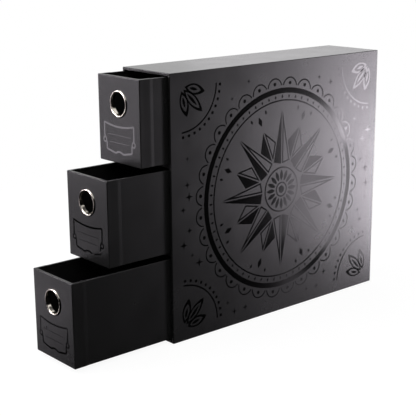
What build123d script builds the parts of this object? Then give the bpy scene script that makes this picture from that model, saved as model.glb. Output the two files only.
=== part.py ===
from build123d import *
import os

# A trading card storage box: three open-topped drawers, one above another, in an upright slipcase.
# Case and drawers are built the way a rigid paper box is: cut greyboard panels, glued edge to face,
# with thin paper drawn over them and turned in at every free edge.
# Each drawer front has a finger hole with a pressed metal ring, clinched over a washer inside.
#
# Millimetres. The origin is the middle of the case's base. X runs across the drawer fronts,
# the drawers pull out towards -Y, and Z is up. The drawers stand part open, like steps.

# What a drawer holds: one row of sleeved cards, standing on their short edge
sleeve_width = 66.0
sleeve_height = 91.0
row_length = 333.0
play_beside_cards = 2.05
play_above_cards = 3.2

# Sheet stock
paper = 0.2
drawer_board = 2.0
case_board = 2.4
shelf_ply = 2.4
side_lining_board = 1.2
floor_lining_board = 1.9
back_lining_card = 0.6
fold_radius = 0.5

# Room for the drawers to run
side_gap = 0.55
run_gap = 0.3
head_gap = 0.9
back_gap = 1.0

# Paper turned in, lapped and set back
mouth_turn_in = 18.0
back_flap = 15.0
sheet_setback = 1.5
lining_setback = 3.0
shelf_setback = 4.0
facing_lap = 16.0
rim_turn_in = 12.0
lining_below_rim = 4.0

# Finger ring: domed flange outside, barrel through the front, end curled over a flat washer
ring_hole_radius = 12.5
ring_wall = 0.5
ring_flange_width = 3.0
ring_dome = 1.2
ring_curl_width = 1.7
ring_curl_height = 0.7
ring_below_rim = 30.0
washer_thickness = 0.6
washer_width = 2.0
hole_clearance = 0.2
washer_clearance = 0.05

# How far each drawer stands out of the case, from the bottom one up
bottom_stands_out = 132.4
middle_stands_out = 83.5
top_stands_out = 37.7

# Drawer sizes, worked outwards from the cards.
# Outside, a board has the body paper and at the front the facing paper too.
# Inside, both are turned in over the rim, and the lining goes over them.
outer_layers = 2 * paper
inner_layers = 3 * paper
inside_width = sleeve_width + 2 * play_beside_cards
inside_height = sleeve_height + play_above_cards
tray_inner_half = inside_width / 2 + inner_layers
tray_outer_half = tray_inner_half + drawer_board
drawer_half = tray_outer_half + outer_layers
front_stack = outer_layers + drawer_board + inner_layers
back_stack = inner_layers + drawer_board + paper
drawer_length = front_stack + row_length + back_stack
floor_stack = outer_layers + drawer_board + paper
drawer_height = floor_stack + inside_height

# Case sizes, worked outwards from the drawers
bay_half = drawer_half + side_gap
bay_height = run_gap + drawer_height + head_gap
shelf_thickness = 2 * shelf_ply + 2 * paper
bay_pitch = bay_height + shelf_thickness
bay_count = 3
opening_half = bay_half + side_lining_board
case_inner_half = opening_half + paper
case_board_half = case_inner_half + case_board
case_half = case_board_half + paper
boards_bottom = 2 * paper
inner_bottom = boards_bottom + case_board
opening_bottom = inner_bottom + paper
bay_bottom = opening_bottom + floor_lining_board
opening_top = bay_bottom + bay_count * bay_pitch - shelf_thickness
inner_top = opening_top + paper
boards_top = inner_top + case_board
case_height = boards_top + paper
case_depth = drawer_length + back_gap + back_lining_card + case_board + 2 * paper
mouth = -case_depth / 2
back = case_depth / 2
boards_front = mouth + paper
boards_back = back - 2 * paper
back_board_front = boards_back - case_board
lining_back = back_board_front - back_lining_card

# Ring sizes
barrel_radius = ring_hole_radius + ring_wall
flange_radius = ring_hole_radius + ring_flange_width
washer_radius = barrel_radius + washer_clearance + washer_width


def block(x, y, z):
    """A box between (low, high) pairs along each axis."""
    centre = Pos((x[0] + x[1]) / 2, (y[0] + y[1]) / 2, (z[0] + z[1]) / 2)
    return centre * Box(x[1] - x[0], y[1] - y[0], z[1] - z[0])


def folded_block(x, y, z, radius):
    """A block with all its edges rounded, as paper leaves them where it folds round a board."""
    whole = block(x, y, z)
    return fillet(whole.edges(), radius)


def across(half):
    """The span from -half to half."""
    return (-half, half)


def outward(side, near, far):
    """The span between two distances from the middle, on the side with that sign."""
    return tuple(sorted((side * near, side * far)))


def plug(radius, y, z_centre):
    """A round bar along Y, to cut a hole with."""
    return Pos(0, (y[0] + y[1]) / 2, z_centre) * Rot(90, 0, 0) * Cylinder(radius, y[1] - y[0])


def save(node, *solids):
    """Writes one node, with each piece in it as its own solid."""
    shape = solids[0] if len(solids) == 1 else Compound(children=list(solids))
    shape.label = node
    export_step(shape, f"parts/{node}.step")


def case_boards_form():
    """The outer form of the glued case boards, before the paper goes on."""
    y = (boards_front, boards_back)
    return folded_block(across(case_board_half), y, (boards_bottom, boards_top), fold_radius)


def case_cover_paper():
    """The printed sheet round the four long sides, in at the mouth and onto the back."""
    y = (mouth, back - paper)
    outside = folded_block(across(case_half), y, (paper, case_height), fold_radius + paper)
    between_flaps = (boards_bottom + back_flap, boards_top - back_flap)
    back_window = block(across(case_board_half - back_flap), (boards_back, back), between_flaps)
    turn_in = (boards_front, boards_front + mouth_turn_in)
    turned = block(across(case_inner_half), turn_in, (inner_bottom, inner_top))
    opening = block(across(opening_half), (mouth, turn_in[1]), (opening_bottom, opening_top))
    return outside - case_boards_form() - back_window + turned - opening


def shelf_boards(floor):
    """Two plies glued face to face, as separate solids."""
    y = (mouth + shelf_setback + paper, lining_back)
    top = floor - paper
    lower = block(across(opening_half), y, (top - 2 * shelf_ply, top - shelf_ply))
    upper = block(across(opening_half), y, (top - shelf_ply, top))
    return lower, upper


def shelf_paper(floor):
    """A sheet folded round the shelf's front edge, over its top and its underside."""
    x = across(opening_half)
    front = mouth + shelf_setback
    under = floor - shelf_thickness
    whole = block(x, (front, lining_back), (under, floor))
    return whole - block(x, (front + paper, lining_back), (under + paper, floor - paper))


def build_case():
    form = case_boards_form()
    y = (boards_front, boards_back)
    z = (boards_bottom, boards_top)
    lined = (mouth + lining_setback, lining_back)
    for side, name in ((-1, "left"), (1, "right")):
        save(f"case_{name}_board", block(outward(side, case_inner_half, case_board_half), y, z) & form)
    save("case_top_board", block(across(case_inner_half), y, (inner_top, boards_top)) & form)
    save("case_bottom_board", block(across(case_inner_half), y, (boards_bottom, inner_bottom)) & form)
    inside_z = (inner_bottom, inner_top)
    back_board = block(across(case_inner_half), (back_board_front, boards_back), inside_z)
    save("case_back_board", back_board & form)
    save("case_cover_paper", case_cover_paper())
    sheet = across(case_half - sheet_setback)
    save("case_base_paper", block(sheet, (mouth + sheet_setback, back - sheet_setback), (0, paper)))
    back_z = (paper + sheet_setback, case_height - sheet_setback)
    save("case_back_paper", block(sheet, (back - paper, back), back_z))
    back_lining = block(across(case_inner_half), (lining_back, back_board_front), inside_z)
    save("case_back_lining", back_lining)
    save("case_floor_lining", block(across(opening_half), lined, (opening_bottom, bay_bottom)))
    for level, bay in enumerate(("bottom", "middle", "top")):
        floor = bay_bottom + level * bay_pitch
        for side, name in ((-1, "left"), (1, "right")):
            lining = block(outward(side, bay_half, opening_half), lined, (floor, floor + bay_height))
            save(f"{bay}_bay_{name}_lining", lining)
        if level:
            save(f"{bay}_shelf_boards", *shelf_boards(floor))
            save(f"{bay}_shelf_paper", shelf_paper(floor))


class Tray:
    """Where one drawer's boards lie, and the form that they have with layers of paper on them."""

    def __init__(self, level, stands_out):
        self.front = mouth - stands_out
        self.base = bay_bottom + level * bay_pitch + run_gap
        self.rim = self.base + drawer_height
        self.ring_centre = self.rim - ring_below_rim
        self.y = (self.front + outer_layers, self.front + drawer_length - paper)
        self.z = (self.base + outer_layers, self.rim - outer_layers)
        self.cavity_y = (self.y[0] + drawer_board, self.y[1] - drawer_board)
        self.floor_top = self.z[0] + drawer_board

    def cavity(self, inset, z):
        """The room between the four walls, drawn in by a thickness of paper."""
        return block(across(tray_inner_half - inset), (self.cavity_y[0] + inset, self.cavity_y[1] - inset), z)

    def form(self, layers):
        """The tray, grown by a thickness of paper on every face."""
        x = across(tray_outer_half + layers)
        y = (self.y[0] - layers, self.y[1] + layers)
        z = (self.z[0] - layers, self.z[1] + layers)
        outside = folded_block(x, y, z, fold_radius + layers)
        return outside - self.cavity(layers, (self.floor_top + layers, z[1]))

    def finger_hole(self):
        y = (self.front - outer_layers, self.front + front_stack + outer_layers)
        return plug(barrel_radius + hole_clearance, y, self.ring_centre)

    def below_turn_in(self):
        """The part of the inside that the turned-in paper leaves bare."""
        return self.cavity(0, (self.floor_top, self.z[1] - rim_turn_in))

    def body_paper(self):
        """The sheet round the whole tray, over its rim and down inside."""
        return self.form(paper) - self.form(0) - self.below_turn_in() - self.finger_hole()

    def facing_paper(self):
        """The front sheet, lapped onto the sides and the underside and turned in over the rim."""
        skin = self.form(outer_layers) - self.form(paper) - self.below_turn_in() - self.finger_hole()
        lap = block(across(drawer_half), (self.front, self.front + facing_lap), (self.base, self.rim))
        return skin & lap

    def lining(self):
        """The inside sheet, over the floor and up the walls, stopping short of the rim."""
        top = self.rim - lining_below_rim
        whole = self.cavity(inner_layers - paper, (self.floor_top, top))
        room = self.cavity(inner_layers, (self.floor_top + paper, top))
        return whole - room - self.finger_hole()

    def boards(self):
        """The five boards by name: the sides run the full length, the others fit between them."""
        form = self.form(0)
        between = across(tray_inner_half)
        panels = {
            "front_board": block(between, (self.y[0], self.cavity_y[0]), self.z) - self.finger_hole(),
            "back_board": block(between, (self.cavity_y[1], self.y[1]), self.z),
            "left_board": block(outward(-1, tray_inner_half, tray_outer_half), self.y, self.z),
            "right_board": block(outward(1, tray_inner_half, tray_outer_half), self.y, self.z),
            "floor_board": block(between, self.cavity_y, (self.z[0], self.floor_top)),
        }
        return {name: panel & form for name, panel in panels.items()}


def finger_ring(front, centre):
    """The pressed ring: its section, as radius and depth behind the front, turned about its axis."""
    curl_depth = front_stack + washer_thickness
    curl_radius = ring_hole_radius + ring_curl_width
    flange_crown = ring_hole_radius + ring_flange_width / 2
    curl_crown = ring_hole_radius + ring_curl_width / 2
    flange = ThreePointArc((flange_radius, 0), (flange_crown, -ring_dome), (ring_hole_radius, 0))
    bore = Line((ring_hole_radius, 0), (ring_hole_radius, curl_depth))
    curl_end = curl_depth + ring_curl_height
    curl = ThreePointArc((ring_hole_radius, curl_depth), (curl_crown, curl_end), (curl_radius, curl_depth))
    barrel = ((barrel_radius, curl_depth), (barrel_radius, 0))
    outside = Polyline((curl_radius, curl_depth), *barrel, (flange_radius, 0))
    section = make_face(Curve() + [flange, bore, curl, outside])
    return Pos(0, front, centre) * revolve(section, Axis.Y)


def ring_washer(front, centre):
    """The flat washer that the ring's curled end holds against the inside of the front."""
    y = (front + front_stack, front + front_stack + washer_thickness)
    return plug(washer_radius, y, centre) - plug(barrel_radius + washer_clearance, y, centre)


def build_drawer(name, level, stands_out):
    tray = Tray(level, stands_out)
    for board, shape in tray.boards().items():
        save(f"{name}_{board}", shape)
    save(f"{name}_body_paper", tray.body_paper())
    save(f"{name}_facing_paper", tray.facing_paper())
    save(f"{name}_lining", tray.lining())
    save(f"{name}_finger_ring", finger_ring(tray.front, tray.ring_centre))
    save(f"{name}_ring_washer", ring_washer(tray.front, tray.ring_centre))


os.makedirs("parts", exist_ok=True)
build_case()
build_drawer("bottom_drawer", 0, bottom_stands_out)
build_drawer("middle_drawer", 1, middle_stands_out)
build_drawer("top_drawer", 2, top_stands_out)
print(f"case {2 * case_half:.1f} wide, {case_depth:.1f} deep, {case_height:.1f} high")
print(f"drawer {2 * drawer_half:.1f} wide, {drawer_length:.1f} long, {drawer_height:.1f} high")
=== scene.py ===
import math
import random

import bpy
from mathutils import Matrix, Vector


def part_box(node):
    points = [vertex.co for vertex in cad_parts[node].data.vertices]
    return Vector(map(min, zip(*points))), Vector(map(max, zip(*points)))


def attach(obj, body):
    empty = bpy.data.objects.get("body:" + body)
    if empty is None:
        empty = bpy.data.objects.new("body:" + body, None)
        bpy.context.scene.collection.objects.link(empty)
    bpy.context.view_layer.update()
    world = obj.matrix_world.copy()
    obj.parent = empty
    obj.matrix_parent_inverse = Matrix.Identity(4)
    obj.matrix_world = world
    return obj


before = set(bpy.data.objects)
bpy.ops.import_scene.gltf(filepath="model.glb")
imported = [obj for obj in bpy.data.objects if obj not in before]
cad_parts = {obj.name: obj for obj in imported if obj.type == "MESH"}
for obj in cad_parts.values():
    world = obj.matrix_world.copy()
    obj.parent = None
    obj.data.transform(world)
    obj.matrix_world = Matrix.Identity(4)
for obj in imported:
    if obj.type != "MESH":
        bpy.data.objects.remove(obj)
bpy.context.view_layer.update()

# A millimetre in metres, the three drawers, and the case's cover, read from the frame in metres
mm = 0.001
drawers = ("bottom", "middle", "top")
cover_low, cover_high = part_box("case_cover_paper")
case_length = cover_high.y - cover_low.y
case_height = cover_high.z - cover_low.z

# Print and varnish, in millimetres
varnish_height = 0.04
varnish_sunk = 0.02

# The label frame on a drawer's front. Its places are millimetres right of its middle and down
# from the drawer's rim, for the right half, before the shift that each label is printed with.
# Its strokes cross, so each one's top lies frame_step above the last.
frame_line = 2.1
frame_half_width = 27.1
frame_top = 53.7
frame_top_sag = 3.3
frame_top_steps = 16
frame_side = ((frame_half_width, frame_top), (frame_half_width, 68.4), (25.9, 70.85))
frame_waist = ((23.6, 75.4), (23.1, 77.2), (23.1, 83.8))
frame_foot = (frame_waist[-1], (8.6, 86.6), (6.8, 86.8), (5.6, 86.4), (3.8, 85.3), (0, 84.8))
frame_step = 0.003
eye_place = (26.5, 73.6)
eye_radius = 2.75
eye_line = 1.7

# The thin rules inside the frame: how far down, and half their length
rule_line = 0.4
rules = ((66.5, 21.0), (75.1, 18.2))

# How far off its place each label is printed: millimetres right, and up
label_shifts = {"bottom": (-1.1, 0.75), "middle": (-0.7, -0.3), "top": (-0.55, 1.25)}

# The swell where a drawer's facing ends on its side: millimetres behind the front, and off the facing.
# Its foot is sunk to lap_root, and it stops lap_end_gap short of the facing's top and bottom.
lap_swell = ((4.0, -0.02), (6.0, 0.0), (13.0, 0.08), (14.0, 0.085), (15.0, 0.06),
             (17.6, -0.06), (18.6, -0.09))
lap_root = -0.35
lap_end_gap = 0.8

# Camera, as the photograph was taken: place and nearest_seen in metres, lens and film in millimetres
camera_place = (0.9165, -0.86925, 0.45506)
camera_azimuth = math.radians(49.3206)
camera_elevation = math.radians(14.679)
camera_roll = math.radians(-0.3933)
camera_lens = 89.83
camera_film = 36.0
nearest_seen = 0.05

# Table top and white surround, in metres and in strengths where 1 is white
table_low = (-0.75, -0.8)
table_high = (0.8, 0.62)
table_drop = 0.0002
table_glow = 0.93
white_level = 1.0
daylight_level = 0.55

# Lights: place, aim, width and height in metres, and watts. Only gloss sees the highlight panels.
panel_colour = "#FDF6FF"
daylight_lamp = ((-0.5, -1.2, 1.3), (0, 0, 0.15), 0.9, 0.9, 8)
highlight_panels = {
    "right": ((0.66, 1.2, -0.1), (0.66, 0, -0.1), 0.44, 0.2, 1.9),
    "right_low": ((0.66, 1.2, -0.3), (0.66, 0, -0.3), 0.44, 0.2, 1.1),
    "right_tall": ((0.78, 1.19, 0.05), (0.78, 0, 0.05), 0.2, 0.7, 2.7),
    "right_foot": ((0.78, 1.18, -0.2), (0.78, 0, -0.2), 0.2, 0.3, 2.3),
    "right_edge": ((0.93, 1.21, 0.12), (0.93, 0, 0.12), 0.22, 0.4, 2.9),
    "right_far": ((1.05, 1.22, -0.2), (1.05, 0, -0.2), 0.4, 0.4, 1.4),
    "right_deep": ((1.1, 1.23, -0.7), (1.1, 0, -0.7), 0.35, 0.4, 0.32),
    "label": ((-1.52, -1.3, -0.1), (-1.52, 0, -0.1), 0.3, 0.24, 0.68),
    "left_high": ((-1.52, -1.3, 0.45), (-1.52, 0, 0.45), 0.5, 0.3, 9.5),
    "left_low": ((-1.6, -1.3, -0.59), (-1.6, 0, -0.59), 0.3, 0.11, 0.24),
    "left_edge": ((-1.87, -1.31, -0.4), (-1.87, 0, -0.4), 0.2, 0.34, 0.15),
    "left_foot": ((-1.87, -1.31, -0.8), (-1.87, 0, -0.8), 0.2, 0.34, 0.38),
    "front_high": ((-0.8, -1.3, 0.45), (-0.8, 0, 0.45), 0.4, 0.4, 9.7),
    "front_low": ((-0.8, -1.3, 0.0), (-0.8, 0, 0.0), 0.4, 0.4, 0.5),
    "end_high": ((-1.65, -0.95, 0.2), (0, -0.95, 0.2), 0.3, 0.28, 1.35),
    "end_low": ((-1.65, -0.95, -0.42), (0, -0.95, -0.42), 0.3, 0.28, 0.5),
    "back": ((-1.0, 1.1, 0.75), (0, 0, 0.31), 0.6, 0.5, 0.4),
}

# Dark cards round the object, in metres: the box that they make, where two of them stop short,
# and how wide their edges fade
cards_low = (-2.0, -1.7, -1.4)
cards_high = (1.9, 1.6, 1.6)
left_card_end = 0.9
back_card_end = -0.2
card_edge = 0.08


def linear(colour):
    """An sRGB hex colour as the linear RGBA that a node takes."""
    channels = [int(colour[i:i + 2], 16) / 255 for i in (1, 3, 5)]
    return [c / 12.92 if c <= 0.04045 else ((c + 0.055) / 1.055) ** 2.4 for c in channels] + [1.0]


def add(tree, kind, inputs=None, **settings):
    """Adds one node with its settings; an input is a plain value, a hex colour, or the socket
    that links into it."""
    node = tree.nodes.new("ShaderNode" + kind)
    for name, value in settings.items():
        setattr(node, name, value)
    for name, value in (inputs or {}).items():
        if isinstance(value, bpy.types.NodeSocket):
            tree.links.new(value, node.inputs[name])
        else:
            node.inputs[name].default_value = linear(value) if isinstance(value, str) else value
    return node


def new_finish(name, **surface):
    """A material with its shader's plain values set; gives the material, its tree and the shader."""
    material = bpy.data.materials.new(name)
    material.use_nodes = True
    shader = material.node_tree.nodes["Principled BSDF"]
    for socket, value in surface.items():
        shader.inputs[socket.replace("_", " ")].default_value = value
    return material, material.node_tree, shader


def blotches(tree, size, detail=3.0, roughness=0.5):
    """A cloudy pattern over the piece, its blotches about so many millimetres across."""
    place = add(tree, "TexCoord").outputs["Object"]
    return add(tree, "TexNoise", {"Vector": place, "Scale": 1 / (size * mm), "Detail": detail,
                                  "Roughness": roughness}).outputs["Fac"]


# The range that most of a cloudy pattern lies in, and the Mix node's own sockets for colours
middle_range = {"From Min": 0.3, "From Max": 0.7}
amount, first, second, mixed = 0, 6, 7, 2


def matt_film_on_black_print():
    """Black printed paper under a matt polypropylene film: deep charcoal with a wide soft highlight."""
    material, tree, shader = new_finish("matt_film_on_black_print", Roughness=0.26, IOR=1.5)
    handled = add(tree, "MapRange", {"Value": blotches(tree, 45), **middle_range}).outputs["Result"]
    colour = add(tree, "Mix", {amount: handled, first: "#161616", second: "#191919"}, data_type="RGBA")
    tree.links.new(colour.outputs[mixed], shader.inputs["Base Color"])
    sheen = add(tree, "MapRange", {"Value": blotches(tree, 30), **middle_range,
                                   "To Min": 0.245, "To Max": 0.275})
    tree.links.new(sheen.outputs["Result"], shader.inputs["Roughness"])
    board_waves = blotches(tree, 22, detail=1.0)
    waves = add(tree, "Bump", {"Strength": 0.04, "Distance": 0.1 * mm, "Height": board_waves})
    # the film's grain is 0.02 mm in life and is drawn at 0.5 mm, the finest that the picture can hold
    grained = add(tree, "Bump", {"Strength": 0.05, "Distance": 0.02 * mm, "Height": blotches(tree, 0.5),
                                 "Normal": waves.outputs["Normal"]})
    tree.links.new(grained.outputs["Normal"], shader.inputs["Normal"])
    return material


def gloss_spot_varnish(name, roughness):
    """Clear varnish screened over the matt film: it levels like wet ink and mirrors what is round it."""
    material, tree, shader = new_finish(name, Roughness=roughness, IOR=1.5)
    colour = add(tree, "Mix", {amount: blotches(tree, 30), first: "#040404", second: "#060606"},
                 data_type="RGBA")
    tree.links.new(colour.outputs[mixed], shader.inputs["Base Color"])
    levelled = add(tree, "Bump", {"Strength": 0.06, "Distance": 0.02 * mm, "Height": blotches(tree, 3)})
    tree.links.new(levelled.outputs["Normal"], shader.inputs["Normal"])
    return material


def black_uncoated_paper():
    """Black-dyed uncoated lining paper: dull, soft and a little uneven, with fibres in it."""
    material, tree, shader = new_finish("black_uncoated_paper", Roughness=0.85, IOR=1.45)
    fibres = blotches(tree, 1.2, detail=6, roughness=0.7)
    colour = add(tree, "Mix", {amount: fibres, first: "#050505", second: "#090909"}, data_type="RGBA")
    tree.links.new(colour.outputs[mixed], shader.inputs["Base Color"])
    felt = add(tree, "Bump", {"Strength": 0.2, "Distance": 0.05 * mm, "Height": fibres})
    tree.links.new(felt.outputs["Normal"], shader.inputs["Normal"])
    return material


def black_faced_board():
    """Board with a calendered black face: smoother than the paper, with a dull sheen."""
    material, tree, shader = new_finish("black_faced_board", Roughness=0.6, IOR=1.5)
    fibres = blotches(tree, 2.5, detail=5, roughness=0.6)
    colour = add(tree, "Mix", {amount: fibres, first: "#090909", second: "#0F0F0F"}, data_type="RGBA")
    tree.links.new(colour.outputs[mixed], shader.inputs["Base Color"])
    sheen = add(tree, "MapRange", {"Value": fibres, **middle_range, "To Min": 0.55, "To Max": 0.68})
    tree.links.new(sheen.outputs["Result"], shader.inputs["Roughness"])
    return material


def recycled_greyboard():
    """Plain recycled board with pale and dark fibre specks and the thin lines of its pressed layers."""
    material, tree, shader = new_finish("recycled_greyboard", Roughness=0.9, IOR=1.45)
    fibres = blotches(tree, 0.8, detail=8, roughness=0.8)
    specks = add(tree, "MapRange", {"Value": fibres, **middle_range}).outputs["Result"]
    pulp = add(tree, "Mix", {amount: specks, first: "#6E6B66", second: "#8B8780"}, data_type="RGBA")
    # the layers are about 0.4 mm thick in life; a scale of 6 mm draws them about 1.9 mm thick
    layers = add(tree, "TexWave", {"Vector": add(tree, "TexCoord").outputs["Object"],
                                   "Scale": 1 / (6 * mm), "Distortion": 6.0, "Detail": 3.0},
                 bands_direction="Z")
    faint = add(tree, "MapRange", {"Value": layers.outputs["Fac"], **middle_range, "To Max": 0.25})
    lined = add(tree, "Mix", {amount: faint.outputs["Result"], first: pulp.outputs[mixed],
                              second: "#5B5853"}, data_type="RGBA")
    tree.links.new(lined.outputs[mixed], shader.inputs["Base Color"])
    rough = add(tree, "Bump", {"Strength": 0.4, "Distance": 0.1 * mm, "Height": specks})
    tree.links.new(rough.outputs["Normal"], shader.inputs["Normal"])
    return material


def bright_nickel_plate():
    """Pressed steel with bright nickel: a warm mirror, clouded a little by the thumb."""
    material, tree, shader = new_finish("bright_nickel_plate", Metallic=1.0, Roughness=0.12)
    tarnish = blotches(tree, 4, detail=4)
    colour = add(tree, "Mix", {amount: tarnish, first: "#D2CBBF", second: "#DDD8CE"}, data_type="RGBA")
    tree.links.new(colour.outputs[mixed], shader.inputs["Base Color"])
    clouded = add(tree, "MapRange", {"Value": blotches(tree, 1.5), **middle_range,
                                     "To Min": 0.09, "To Max": 0.17})
    tree.links.new(clouded.outputs["Result"], shader.inputs["Roughness"])
    return material


finishes = {
    "laminated_paper": matt_film_on_black_print(),
    "lining_paper": black_uncoated_paper(),
    "lining_board": black_faced_board(),
    "greyboard": recycled_greyboard(),
    "plated_steel": bright_nickel_plate(),
}
# Broad shapes dry with a slight orange peel, so they mirror less sharply than thin lines
broad_varnish = gloss_spot_varnish("gloss_spot_varnish_broad", 0.1)
line_varnish = gloss_spot_varnish("gloss_spot_varnish_lines", 0.06)


def slot_of(node):
    """The record's material slot that a node of the frame takes its finish from."""
    if node.endswith(("cover_paper", "base_paper", "back_paper", "body_paper", "facing_paper")):
        return "laminated_paper"
    if node.endswith(("shelf_paper", "drawer_lining", "case_back_lining")):
        return "lining_paper"
    if node.endswith("_lining"):
        return "lining_board"
    if node.endswith(("finger_ring", "ring_washer")):
        return "plated_steel"
    return "greyboard"


def finish_the_frame():
    """Gives every node of the frame its finish."""
    for name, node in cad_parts.items():
        node.data.materials.clear()
        node.data.materials.append(finishes[slot_of(name)])


def on_circle(centre, radius, degrees):
    """The point on a circle at an angle anticlockwise from the right."""
    angle = math.radians(degrees)
    return (centre[0] + radius * math.cos(angle), centre[1] + radius * math.sin(angle))


def arc(centre, radius, start, end, steps):
    """Points along an arc, its angles in degrees anticlockwise from the right."""
    return [on_circle(centre, radius, start + (end - start) * i / steps) for i in range(steps + 1)]


def circle(centre, radius, steps):
    """A closed circle's points."""
    return arc(centre, radius, 0, 360, steps)[:-1]


def turned(points, degrees):
    """Points turned anticlockwise about the middle."""
    c, s = math.cos(math.radians(degrees)), math.sin(math.radians(degrees))
    return [(c * x - s * y, s * x + c * y) for x, y in points]


def moved(points, across, up):
    """Points shifted across and up."""
    return [(x + across, y + up) for x, y in points]


def inset(points, depth):
    """A convex outline with every side moved inwards by the same depth."""
    if area(points) < 0:
        points = points[::-1]
    inner = []
    for before, point, after in zip(points[-1:] + points[:-1], points, points[1:] + points[:1]):
        coming = (Vector(point) - Vector(before)).normalized()
        going = (Vector(after) - Vector(point)).normalized()
        inward = Vector((-coming.y - going.y, coming.x + going.x)) / (1 + coming.dot(going))
        inner.append((point[0] + inward.x * depth, point[1] + inward.y * depth))
    return inner


def stroke(path, width):
    """The outline of a line of one width along a path, with its corners mitred."""
    left, right = [], []
    for i, point in enumerate(path):
        ahead = Vector(path[min(i + 1, len(path) - 1)]) - Vector(path[min(i, len(path) - 2)])
        behind = Vector(path[max(i, 1)]) - Vector(path[max(i - 1, 0)])
        ahead, behind = ahead.normalized(), behind.normalized()
        side = Vector((-ahead.y - behind.y, ahead.x + behind.x)) / (1 + ahead.dot(behind)) * width / 2
        left.append((point[0] + side.x, point[1] + side.y))
        right.append((point[0] - side.x, point[1] - side.y))
    return left + right[::-1]


def area(points):
    """Twice the signed area of an outline: positive when it runs anticlockwise."""
    return sum(p[0] * q[1] - q[0] * p[1] for p, q in zip(points, points[1:] + points[:1]))


def printed(name, shapes, place, body, varnish, lift=0.0):
    """Varnish in raised shapes, each an outline, or an outer and an inner one with as many points.
    Where shapes cross, lift lays each one that much higher, so that no two tops are level."""
    points, faces = [], []

    def loop(outline, level):
        start = len(points)
        points.extend(place(u, v, level) for u, v in outline)
        return list(range(start, len(points)))

    def wall(lower, upper):
        count = len(lower)
        for i in range(count):
            j = (i + 1) % count
            faces.append((lower[i], lower[j], upper[j], upper[i]))

    for number, shape in enumerate(shapes):
        height = varnish_height + lift * number
        outer, inner = shape if isinstance(shape, tuple) else (shape, None)
        if area(outer) < 0:
            outer = outer[::-1]
            inner = inner[::-1] if inner else None
        foot, top = loop(outer, -varnish_sunk), loop(outer, height)
        wall(foot, top)
        if inner:
            inner_foot, inner_top = loop(inner, -varnish_sunk), loop(inner, height)
            wall(inner_top, inner_foot)
            wall(top, inner_top)
            wall(inner_foot, foot)
        else:
            faces.append(tuple(top))
            faces.append(tuple(foot[::-1]))
    mesh = bpy.data.meshes.new(name)
    mesh.from_pydata(points, [], faces)
    mesh.materials.append(varnish)
    piece = bpy.data.objects.new(name, mesh)
    bpy.context.scene.collection.objects.link(piece)
    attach(piece, body)


def on_the_side(u, v, level):
    """A place on the big side: u back and v up from its middle, and level off it, in millimetres."""
    middle = (cover_low + cover_high) / 2
    return (cover_high.x + level * mm, middle.y + u * mm, middle.z + v * mm)


def on_the_label(drawer):
    """Gives the place on a drawer's label: u right of its middle, and v up from the drawer's rim."""
    low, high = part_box(drawer + "_drawer_facing_paper")
    right, up = label_shifts[drawer]

    def place(u, v, level):
        return ((low.x + high.x) / 2 + (u + right) * mm, low.y - level * mm, high.z + (v + up) * mm)
    return place


# The picture on the big side, in millimetres from its middle
fine_line = 1.8
lace_line = 1.5

# Its rim: two rings with beads between them, and scallops with a dot in each. scallop_fill is
# a scallop's share of its pitch.
rim_radius = 124.0
rim_width = 6.5
inner_rim_radius = 110.0
bead_radius = 113.6
bead_size = (5.0, 2.8)
scallops = 32
scallop_fill = 0.92
scallop_lift = 1.0
scallop_ends = (8, 172)
scallop_dot = 2.2
scallop_dot_lift = 5.6

# Its star: eight long points, eight short ones, and lozenges off the short ones. short_point_foot
# is where along a long point's edge a short one starts, as a share of the edge.
star_points = 8
long_tip = 105.0
short_tip = 82.0
valley = 37.0
star_foot = 31.0
short_point_foot = 0.36
facet_gap = 0.8
tip_lozenge = (13, 6.5)
tip_lozenge_gap = 12
side_lozenge = (6, 3.4)
side_lozenge_radius = 101
side_lozenge_turn = 7

# The flower in the star's middle
flower_eye = 4.6
flower_ring = 9.4
flower_rim = 28.2
flower_petals = 16
flower_petal = (11.0, 24.6, 2.5)

# The corner fans: each leaf's turn in degrees and its tip, its outline, hollow and vein, and the
# beaded quarter ring
corner_inset = 15.0
fan_leaves = ((-31, 36), (0, 44), (31, 36))
leaf_foot, leaf_half_width = 6, 6.2
hollow_foot, hollow_tip_gap, hollow_half_width = 10, 6, 4.3
vein_foot, vein_tip_gap, vein_half_width = 13, 11, 1.7
corner_arc = 52.0
corner_arc_half_turn = 44
corner_bead = 1.8
corner_bead_gap = 5.5
corner_bead_turn = 8.4
corner_beads_each_way = 5

# The small stars strewn between the rim and the corner fans. star_reach is in shares of the side's
# length and height, from its middle.
star_seed = 11
star_tries = 900
star_reach = (0.46, 0.455)
star_sizes = (3.0, 4.5, 6.0)
clear_off_rim = 16
clear_off_fans = 13
clear_off_stars = 14


def spoke(radius, degrees):
    """A point at that radius, so many degrees clockwise from the top."""
    return (radius * math.sin(math.radians(degrees)), radius * math.cos(math.radians(degrees)))


def ring(centre, radius, width, steps=160):
    """A ring of one width, given by its outer radius."""
    return (circle(centre, radius, steps), circle(centre, radius - width, steps))


def lozenge(length, width):
    """A four-cornered lozenge standing on its point."""
    return [(width / 2, 0), (0, length / 2), (-width / 2, 0), (0, -length / 2)]


def petal(start, end, half_width, fullness=0.8, steps=10):
    """A leaf from start to end along the upward axis, pointed at both ends."""
    right = [(half_width * math.sin(math.pi * i / steps) ** fullness, start + (end - start) * i / steps)
             for i in range(steps + 1)]
    return right + [(-x, y) for x, y in right[-2:0:-1]]


def small_star(size, waist=0.26):
    """A four-pointed star with hollow sides."""
    return [spoke(size * (1 if i % 2 == 0 else waist), -45 * i) for i in range(8)]


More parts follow.
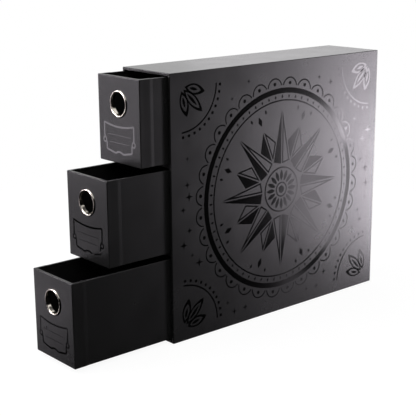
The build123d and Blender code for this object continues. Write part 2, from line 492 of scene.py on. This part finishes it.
def picture_rim():
    """Two rings with beads between them, and scallops outside."""
    shapes = [ring((0, 0), rim_radius, rim_width), ring((0, 0), inner_rim_radius, fine_line)]
    beads = 2 * scallops
    for i in range(beads):
        shapes.append(turned(moved(lozenge(*bead_size), 0, bead_radius), 360 * i / beads))
    printed("side_picture_rim", shapes, on_the_side, "case", broad_varnish)
    scallop_radius = math.pi * rim_radius / scallops * scallop_fill
    lace = []
    for i in range(scallops):
        angle = 360 * (i + 0.5) / scallops
        bow = arc((0, rim_radius + scallop_lift), scallop_radius, *scallop_ends, steps=14)
        lace.append(turned(stroke(bow, lace_line), angle))
        lace.append(turned(circle((0, rim_radius + scallop_dot_lift), scallop_dot, steps=14), angle))
    printed("side_picture_scallops", lace, on_the_side, "case", broad_varnish)


def picture_star():
    """The compass star: eight long points and eight short ones, each half solid and half outline."""
    solid, hollow = [], []
    half_turn = 180 / star_points
    for i in range(star_points):
        angle = 360 * i / star_points
        foot, tip = spoke(star_foot, angle), spoke(long_tip, angle)
        solid.append([foot, spoke(valley, angle - half_turn), tip])
        hollow.append([foot, spoke(valley, angle + half_turn), tip])
        between_points = angle + half_turn
        base, short = Vector(spoke(valley, between_points)), spoke(short_tip, between_points)
        left = base.lerp(Vector(tip), short_point_foot)
        right = base.lerp(Vector(spoke(long_tip, angle + 2 * half_turn)), short_point_foot)
        solid.append([tuple(base), tuple(left), short])
        hollow.append([tuple(base), tuple(right), short])
    shapes = [inset(facet, facet_gap) for facet in solid]
    shapes += [(inset(facet, facet_gap), inset(facet, facet_gap + fine_line)) for facet in hollow]
    for i in range(star_points):
        angle = 360 * (i + 0.5) / star_points
        shapes.append(turned(moved(lozenge(*tip_lozenge), 0, short_tip + tip_lozenge_gap), angle))
        for side in (-1, 1):
            small = moved(lozenge(*side_lozenge), 0, side_lozenge_radius)
            shapes.append(turned(small, angle + side_lozenge_turn * side))
    printed("side_picture_star", shapes, on_the_side, "case", broad_varnish)


def picture_flower():
    """The rosette in the star's middle."""
    shapes = [circle((0, 0), flower_eye, steps=32), ring((0, 0), flower_ring, fine_line, steps=64),
              ring((0, 0), flower_rim, fine_line, steps=96)]
    for i in range(flower_petals):
        shapes.append(turned(petal(*flower_petal), 360 * i / flower_petals))
    printed("side_picture_flower", shapes, on_the_side, "case", broad_varnish)


def corner_places():
    """The four places that the corner fans open from, and the way each one faces."""
    reach_u = case_length / 2 / mm - corner_inset
    reach_v = case_height / 2 / mm - corner_inset
    return [((side * reach_u, end * reach_v), math.degrees(math.atan2(-end, -side)))
            for side in (-1, 1) for end in (-1, 1)]


def picture_corners():
    """A fan in each corner of the side: three outlined leaves, a quarter ring and a row of beads."""
    shapes = []
    for corner, inward in corner_places():
        for spread, tip in fan_leaves:
            leaf, hollow, vein = (moved(turned(outline, inward - 90 + spread), *corner) for outline in (
                petal(leaf_foot, tip, leaf_half_width),
                petal(hollow_foot, tip - hollow_tip_gap, hollow_half_width),
                petal(vein_foot, tip - vein_tip_gap, vein_half_width)))
            shapes += [(leaf, hollow), vein]
        ends = (inward - corner_arc_half_turn, inward + corner_arc_half_turn)
        bow = arc(corner, corner_arc, *ends, steps=24)
        shapes.append(stroke(bow, fine_line))
        for i in range(-corner_beads_each_way, corner_beads_each_way + 1):
            at = on_circle(corner, corner_arc + corner_bead_gap, inward + corner_bead_turn * i)
            shapes.append(circle(at, corner_bead, steps=12))
    printed("side_picture_corners", shapes, on_the_side, "case", broad_varnish)


def picture_small_stars():
    """Small four-pointed stars strewn between the rim and the corner fans."""
    shapes, placed = [], []
    chance = random.Random(star_seed)
    reach_u, reach_v = star_reach
    for _ in range(star_tries):
        u = chance.uniform(-reach_u, reach_u) * case_length / mm
        v = chance.uniform(-reach_v, reach_v) * case_height / mm
        size = chance.choice(star_sizes)
        off_rim = math.hypot(u, v) - rim_radius
        off_fans = min(math.dist((u, v), corner) for corner, _ in corner_places()) - corner_arc
        off_stars = min((math.dist((u, v), other) for other in placed), default=math.inf)
        if (off_rim > clear_off_rim + size and off_fans > clear_off_fans + size
                and off_stars > clear_off_stars):
            placed.append((u, v))
            shapes.append(moved(small_star(size), u, v))
    printed("side_picture_small_stars", shapes, on_the_side, "case", broad_varnish)


def label_frame(drawer):
    """The label frame under the finger ring: a sagging top, an eye on each side and a lobed foot."""
    place = on_the_label(drawer)
    body = drawer + "_drawer"
    top = []
    for i in range(frame_top_steps + 1):
        u = frame_half_width * (2 * i / frame_top_steps - 1)
        top.append((u, -frame_top - frame_top_sag * (1 - (u / frame_half_width) ** 2)))
    shapes = [stroke(top, frame_line)]
    for way in (-1, 1):
        for path in (frame_side, frame_waist, frame_foot):
            shapes.append(stroke([(way * u, -drop) for u, drop in path], frame_line))
        eye = (way * eye_place[0], -eye_place[1])
        shapes.append(ring(eye, eye_radius + eye_line / 2, eye_line, steps=24))
    printed(drawer + "_drawer_label_frame", shapes, place, body, line_varnish, lift=frame_step)
    lines = [stroke([(-half, -drop), (half, -drop)], rule_line) for drop, half in rules]
    printed(drawer + "_drawer_label_rules", lines, place, body, line_varnish)


def lap_ridge(drawer):
    """The soft swell down each side of a drawer, where the facing's edge is pasted over the paper."""
    low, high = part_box(drawer + "_drawer_facing_paper")
    around = len(lap_swell) + 2
    points, faces, smooth = [], [], []
    for way, wall in ((-1, low.x), (1, high.x)):
        start = len(points)
        for level in (low.z + lap_end_gap * mm, high.z - lap_end_gap * mm):
            for back, off in lap_swell + ((lap_swell[-1][0], lap_root), (lap_swell[0][0], lap_root)):
                points.append((wall + way * off * mm, low.y + back * mm, level))
        section = list(range(start, start + around))
        upper = [k + around for k in section]
        for i in range(around):
            j = (i + 1) % around
            quad = (section[i], section[j], upper[j], upper[i])
            faces.append(quad if way > 0 else quad[::-1])
            smooth.append(i < len(lap_swell) - 1)
        for end, outward in ((section, -1), (upper, 1)):
            faces.append(tuple(end if way * outward > 0 else end[::-1]))
            smooth.append(False)
    mesh = bpy.data.meshes.new(drawer + "_drawer_lap_ridges")
    mesh.from_pydata(points, [], faces)
    mesh.materials.append(finishes["laminated_paper"])
    flat_ends = set()
    for face, rounded in zip(mesh.polygons, smooth):
        face.use_smooth = rounded
        if not rounded:
            flat_ends.update(face.edge_keys)
    for edge in mesh.edges:
        edge.use_edge_sharp = edge.key in flat_ends
    piece = bpy.data.objects.new(drawer + "_drawer_lap_ridges", mesh)
    bpy.context.scene.collection.objects.link(piece)
    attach(piece, drawer + "_drawer")


def set_camera():
    """Stands the camera where the photograph was taken."""
    lens = bpy.data.cameras.new("camera")
    lens.lens = camera_lens
    lens.sensor_width = camera_film
    lens.clip_start = nearest_seen
    camera = bpy.data.objects.new("camera", lens)
    azimuth = Matrix.Rotation(camera_azimuth, 4, "Z")
    turn = azimuth @ Matrix.Rotation(math.pi / 2 - camera_elevation, 4, "X")
    camera.matrix_world = Matrix.Translation(camera_place) @ turn @ Matrix.Rotation(camera_roll, 4, "Z")
    bpy.context.scene.collection.objects.link(camera)
    bpy.context.scene.camera = camera


def seen_white(tree):
    """1 for the rays that see the white surround: the camera's, and those of gloss and glass."""
    rays = add(tree, "LightPath").outputs
    mirror = add(tree, "Math", {0: rays["Is Camera Ray"], 1: rays["Is Glossy Ray"]}, operation="MAXIMUM")
    return add(tree, "Math", {0: mirror.outputs[0], 1: rays["Is Transmission Ray"]},
               operation="MAXIMUM").outputs[0]


def set_surround():
    """A white surround that gives the object only plain daylight."""
    world = bpy.data.worlds.new("surround")
    world.use_nodes = True
    tree = world.node_tree
    tree.nodes.clear()
    daylight = add(tree, "Background", {"Color": "#FFFFFF", "Strength": daylight_level})
    white = add(tree, "Background", {"Color": "#FFFFFF", "Strength": white_level})
    choice = add(tree, "MixShader", {0: seen_white(tree), 1: daylight.outputs[0], 2: white.outputs[0]})
    add(tree, "OutputWorld", {"Surface": choice.outputs[0]})
    bpy.context.scene.world = world


def flat_sheet(name, corners, material):
    """A flat four-cornered sheet that stands in the studio and isn't part of the object."""
    mesh = bpy.data.meshes.new(name)
    mesh.from_pydata(corners, [], [(0, 1, 2, 3)])
    laid = mesh.uv_layers.new(name="UVMap")
    for corner, place in enumerate(((0, 0), (1, 0), (1, 1), (0, 1))):
        laid.data[corner].uv = place
    mesh.materials.append(material)
    sheet = bpy.data.objects.new(name, mesh)
    bpy.context.scene.collection.objects.link(sheet)
    return sheet


def set_floor():
    """A white table top that shows a faint soft shadow."""
    material = bpy.data.materials.new("white_table_top")
    material.use_nodes = True
    tree = material.node_tree
    tree.nodes.clear()
    paint = add(tree, "BsdfDiffuse", {"Color": "#E6E6E6"})
    shaded = add(tree, "BsdfDiffuse", {"Color": "#6A6A6A"})
    glow = add(tree, "Emission", {"Color": "#FFFFFF", "Strength": table_glow})
    seen = add(tree, "AddShader", {0: shaded.outputs[0], 1: glow.outputs[0]})
    choice = add(tree, "MixShader", {0: seen_white(tree), 1: paint.outputs[0], 2: seen.outputs[0]})
    add(tree, "OutputMaterial", {"Surface": choice.outputs[0]})
    (left, front), (right, back) = table_low, table_high
    corners = [(left, front), (right, front), (right, back), (left, back)]
    table = flat_sheet("table_top", [(x, y, -table_drop) for x, y in corners], material)
    table.visible_glossy = False
    table.visible_shadow = False


def dark_card(name, corners):
    """A black card that only reflections see, so that the gloss reads dark; its edges fade out."""
    material = bpy.data.materials.new(name)
    material.use_nodes = True
    tree = material.node_tree
    tree.nodes.clear()
    across, up = Vector(corners[1]) - Vector(corners[0]), Vector(corners[3]) - Vector(corners[0])
    sides = add(tree, "SeparateXYZ", {"Vector": add(tree, "TexCoord").outputs["UV"]})
    cover = None
    for axis, length in (("X", across.length), ("Y", up.length)):
        from_middle = add(tree, "Math", {0: sides.outputs[axis], 1: 0.5}, operation="SUBTRACT")
        away = add(tree, "Math", {0: from_middle.outputs[0]}, operation="ABSOLUTE")
        fade = add(tree, "MapRange", {"Value": away.outputs[0], "From Min": 0.5,
                                      "From Max": 0.5 - card_edge / length,
                                      "To Min": 0.0, "To Max": 1.0}, interpolation_type="SMOOTHSTEP")
        cover = fade.outputs[0] if cover is None else add(
            tree, "Math", {0: cover, 1: fade.outputs[0]}, operation="MULTIPLY").outputs[0]
    clear = add(tree, "BsdfTransparent")
    black = add(tree, "BsdfDiffuse", {"Color": "#030303"})
    blend = add(tree, "MixShader", {0: cover, 1: clear.outputs[0], 2: black.outputs[0]})
    add(tree, "OutputMaterial", {"Surface": blend.outputs[0]})
    card = flat_sheet(name, corners, material)
    card.visible_camera = False
    card.visible_diffuse = False
    card.visible_shadow = False
    card.visible_transmission = False


def soft_light(name, place, aim, width, height, watts, colour="#FFFFFF", only_gloss=False):
    """A rectangular soft light; one for gloss only gives highlights and no other light."""
    lamp = bpy.data.lights.new(name, "AREA")
    lamp.color = linear(colour)[:3]
    lamp.shape = "RECTANGLE"
    lamp.size = width
    lamp.size_y = height
    lamp.energy = watts
    light = bpy.data.objects.new(name, lamp)
    facing = (Vector(aim) - Vector(place)).to_track_quat("-Z", "Y")
    light.matrix_world = Matrix.Translation(place) @ facing.to_matrix().to_4x4()
    bpy.context.scene.collection.objects.link(light)
    light.visible_camera = False
    if only_gloss:
        light.visible_diffuse = False


def set_lights():
    """A plain daylight lamp, the highlight panels, and dark cards behind them."""
    soft_light("daylight_left", *daylight_lamp)
    for name, panel in highlight_panels.items():
        soft_light("highlight_" + name, *panel, panel_colour, only_gloss=True)
    left, front, foot = cards_low
    right, back, head = cards_high
    for name, start, end in (
            ("right", (right, front - card_edge), (right, back + card_edge)),
            ("back", (right + card_edge, back), (back_card_end, back)),
            ("front", (left - card_edge, front), (right + card_edge, front)),
            ("left", (left, front - card_edge), (left, left_card_end))):
        dark_card("dark_card_" + name, [(*start, foot - card_edge), (*end, foot - card_edge),
                                        (*end, head), (*start, head)])
    dark_card("dark_card_low", [(left - card_edge, front - card_edge, foot),
                                (right + card_edge, front - card_edge, foot),
                                (right + card_edge, back + card_edge, foot),
                                (left - card_edge, back + card_edge, foot)])


finish_the_frame()
picture_rim()
picture_star()
picture_flower()
picture_corners()
picture_small_stars()
for drawer in drawers:
    label_frame(drawer)
    lap_ridge(drawer)

set_camera()
set_surround()
set_floor()
set_lights()

bpy.context.scene.view_settings.view_transform = "Standard"
